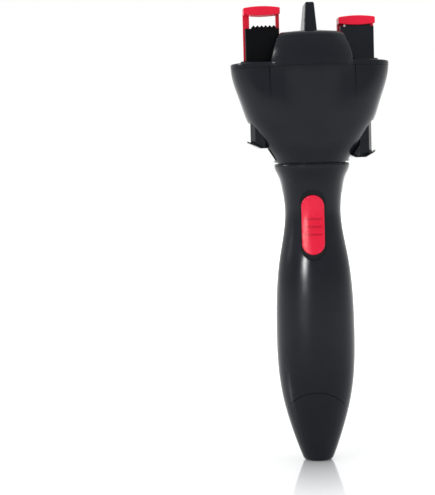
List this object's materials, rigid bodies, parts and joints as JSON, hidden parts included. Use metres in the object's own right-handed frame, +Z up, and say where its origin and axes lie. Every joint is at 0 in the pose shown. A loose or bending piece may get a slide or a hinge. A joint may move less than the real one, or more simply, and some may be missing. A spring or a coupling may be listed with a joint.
{
  "type": "hair braider",
  "caption": "Battery hair braider: a contoured handle with a slide switch and a turning domed head whose toothed clips spin and close sprung red hooks over the hair.",
  "frame": {"origin": "middle of the handle's flat lower tip, on the handle's long axis", "axes": "+Z runs up the handle to the head, -Y is the front with the slide switch, +X to the right seen from the front"},
  "size_m": [0.0802, 0.0534, 0.2338],
  "materials": {
    "dark_shell": "glossy near-black ABS",
    "red_hook": "glossy red ABS",
    "white_gear": "moulded acetal",
    "inner_plastic": "moulded dark grey",
    "bearing_bronze": "sintered bronze",
    "steel": "plain steel",
    "spring_steel": "drawn wire",
    "motor_steel": "plated can",
    "contact_brass": "stamped brass",
    "cell_jacket": "plain green jacket"
  },
  "bodies": {
    "handle": {"handle_front_shell": "dark_shell", "handle_back_shell": "dark_shell", "shell_screws": "steel", "left_cell": "cell_jacket", "right_cell": "cell_jacket", "upper_contacts": "contact_brass", "motor_can": "motor_steel", "motor_end_cap": "inner_plastic", "motor_terminals": "contact_brass", "gearbox_base_plate": "inner_plastic", "gearbox_pillars": "inner_plastic", "gearbox_top_plate": "inner_plastic", "reduction_pin": "steel", "lower_shaft_bush": "bearing_bronze", "upper_shaft_bush": "bearing_bronze", "neck_post": "inner_plastic", "head_washer": "bearing_bronze", "switch_housing": "inner_plastic", "switch_terminals": "contact_brass", "head_retaining_nut": "inner_plastic"},
    "battery_cap": {"battery_cap": "dark_shell", "cap_contact_strip": "contact_brass", "cell_springs": "spring_steel"},
    "switch": {"switch_button": "red_hook", "switch_actuator": "inner_plastic"},
    "head": {"head_cup": "dark_shell", "head_cover": "dark_shell", "divider_fin": "dark_shell", "carrier_plate": "inner_plastic", "carrier_screws": "steel"},
    "motor_rotor": {"motor_shaft": "steel", "motor_pinion": "white_gear"},
    "reduction": {"reduction_gear": "white_gear"},
    "drive": {"drive_shaft": "steel", "output_gear": "white_gear", "sun_gear": "white_gear"},
    "left_clip": {"left_clip_body": "dark_shell", "left_clip_rotor": "white_gear", "left_clip_gear": "white_gear", "left_rotor_circlip": "steel", "left_hook_spring": "spring_steel"},
    "right_clip": {"right_clip_body": "dark_shell", "right_clip_rotor": "white_gear", "right_clip_gear": "white_gear", "right_rotor_circlip": "steel", "right_hook_spring": "spring_steel"},
    "left_hook": {"left_hook": "red_hook", "left_push_button": "dark_shell", "left_push_screw": "steel"},
    "right_hook": {"right_hook": "red_hook", "right_push_button": "dark_shell", "right_push_screw": "steel"}
  },
  "joints": [
    {"name": "battery_cap_slide", "type": "slide", "parent": "handle", "child": "battery_cap", "axis": [0, 0, -1], "range_m": [0, 0.03]},
    {"name": "switch_slide", "type": "slide", "parent": "handle", "child": "switch", "axis": [0, 0, 1], "range_m": [-0.0025, 0.0025]},
    {"name": "head_spin", "type": "hinge", "parent": "handle", "child": "head", "pos_m": [0, 0, 0.16], "axis": [0, 0, 1], "continuous": true},
    {"name": "motor_spin", "type": "hinge", "parent": "handle", "child": "motor_rotor", "pos_m": [0, 0.0028, 0.12], "axis": [0, 0, 1], "continuous": true},
    {"name": "reduction_spin", "type": "hinge", "parent": "handle", "child": "reduction", "pos_m": [-0.00654, 0.00188, 0.137], "axis": [0, 0, 1], "continuous": true},
    {"name": "drive_spin", "type": "hinge", "parent": "head", "child": "drive", "pos_m": [0, 0, 0.16], "axis": [0, 0, 1], "continuous": true},
    {"name": "left_clip_spin", "type": "hinge", "parent": "head", "child": "left_clip", "pos_m": [-0.02391, -0.00209, 0.19], "axis": [0, 0, 1], "continuous": true},
    {"name": "right_clip_spin", "type": "hinge", "parent": "head", "child": "right_clip", "pos_m": [0.02391, 0.00209, 0.19], "axis": [0, 0, 1], "continuous": true},
    {"name": "left_hook_slide", "type": "slide", "parent": "left_clip", "child": "left_hook", "axis": [0, 0, 1], "range_m": [-0.0058, 0.0017], "stiffness_N_per_m": 200, "springref_m": -0.0088, "deforming": ["left_hook_spring"]},
    {"name": "right_hook_slide", "type": "slide", "parent": "right_clip", "child": "right_hook", "axis": [0, 0, 1], "range_m": [0, 0.0075], "stiffness_N_per_m": 200, "springref_m": -0.003, "deforming": ["right_hook_spring"]}
  ],
  "couplings": [
    {"joint": "reduction_spin", "follows": "drive_spin", "ratio": -2.4},
    {"joint": "motor_spin", "follows": "drive_spin", "ratio": 6.4},
    {"joint": "left_clip_spin", "follows": "drive_spin", "ratio": -1.6667},
    {"joint": "right_clip_spin", "follows": "drive_spin", "ratio": -1.6667}
  ]
}
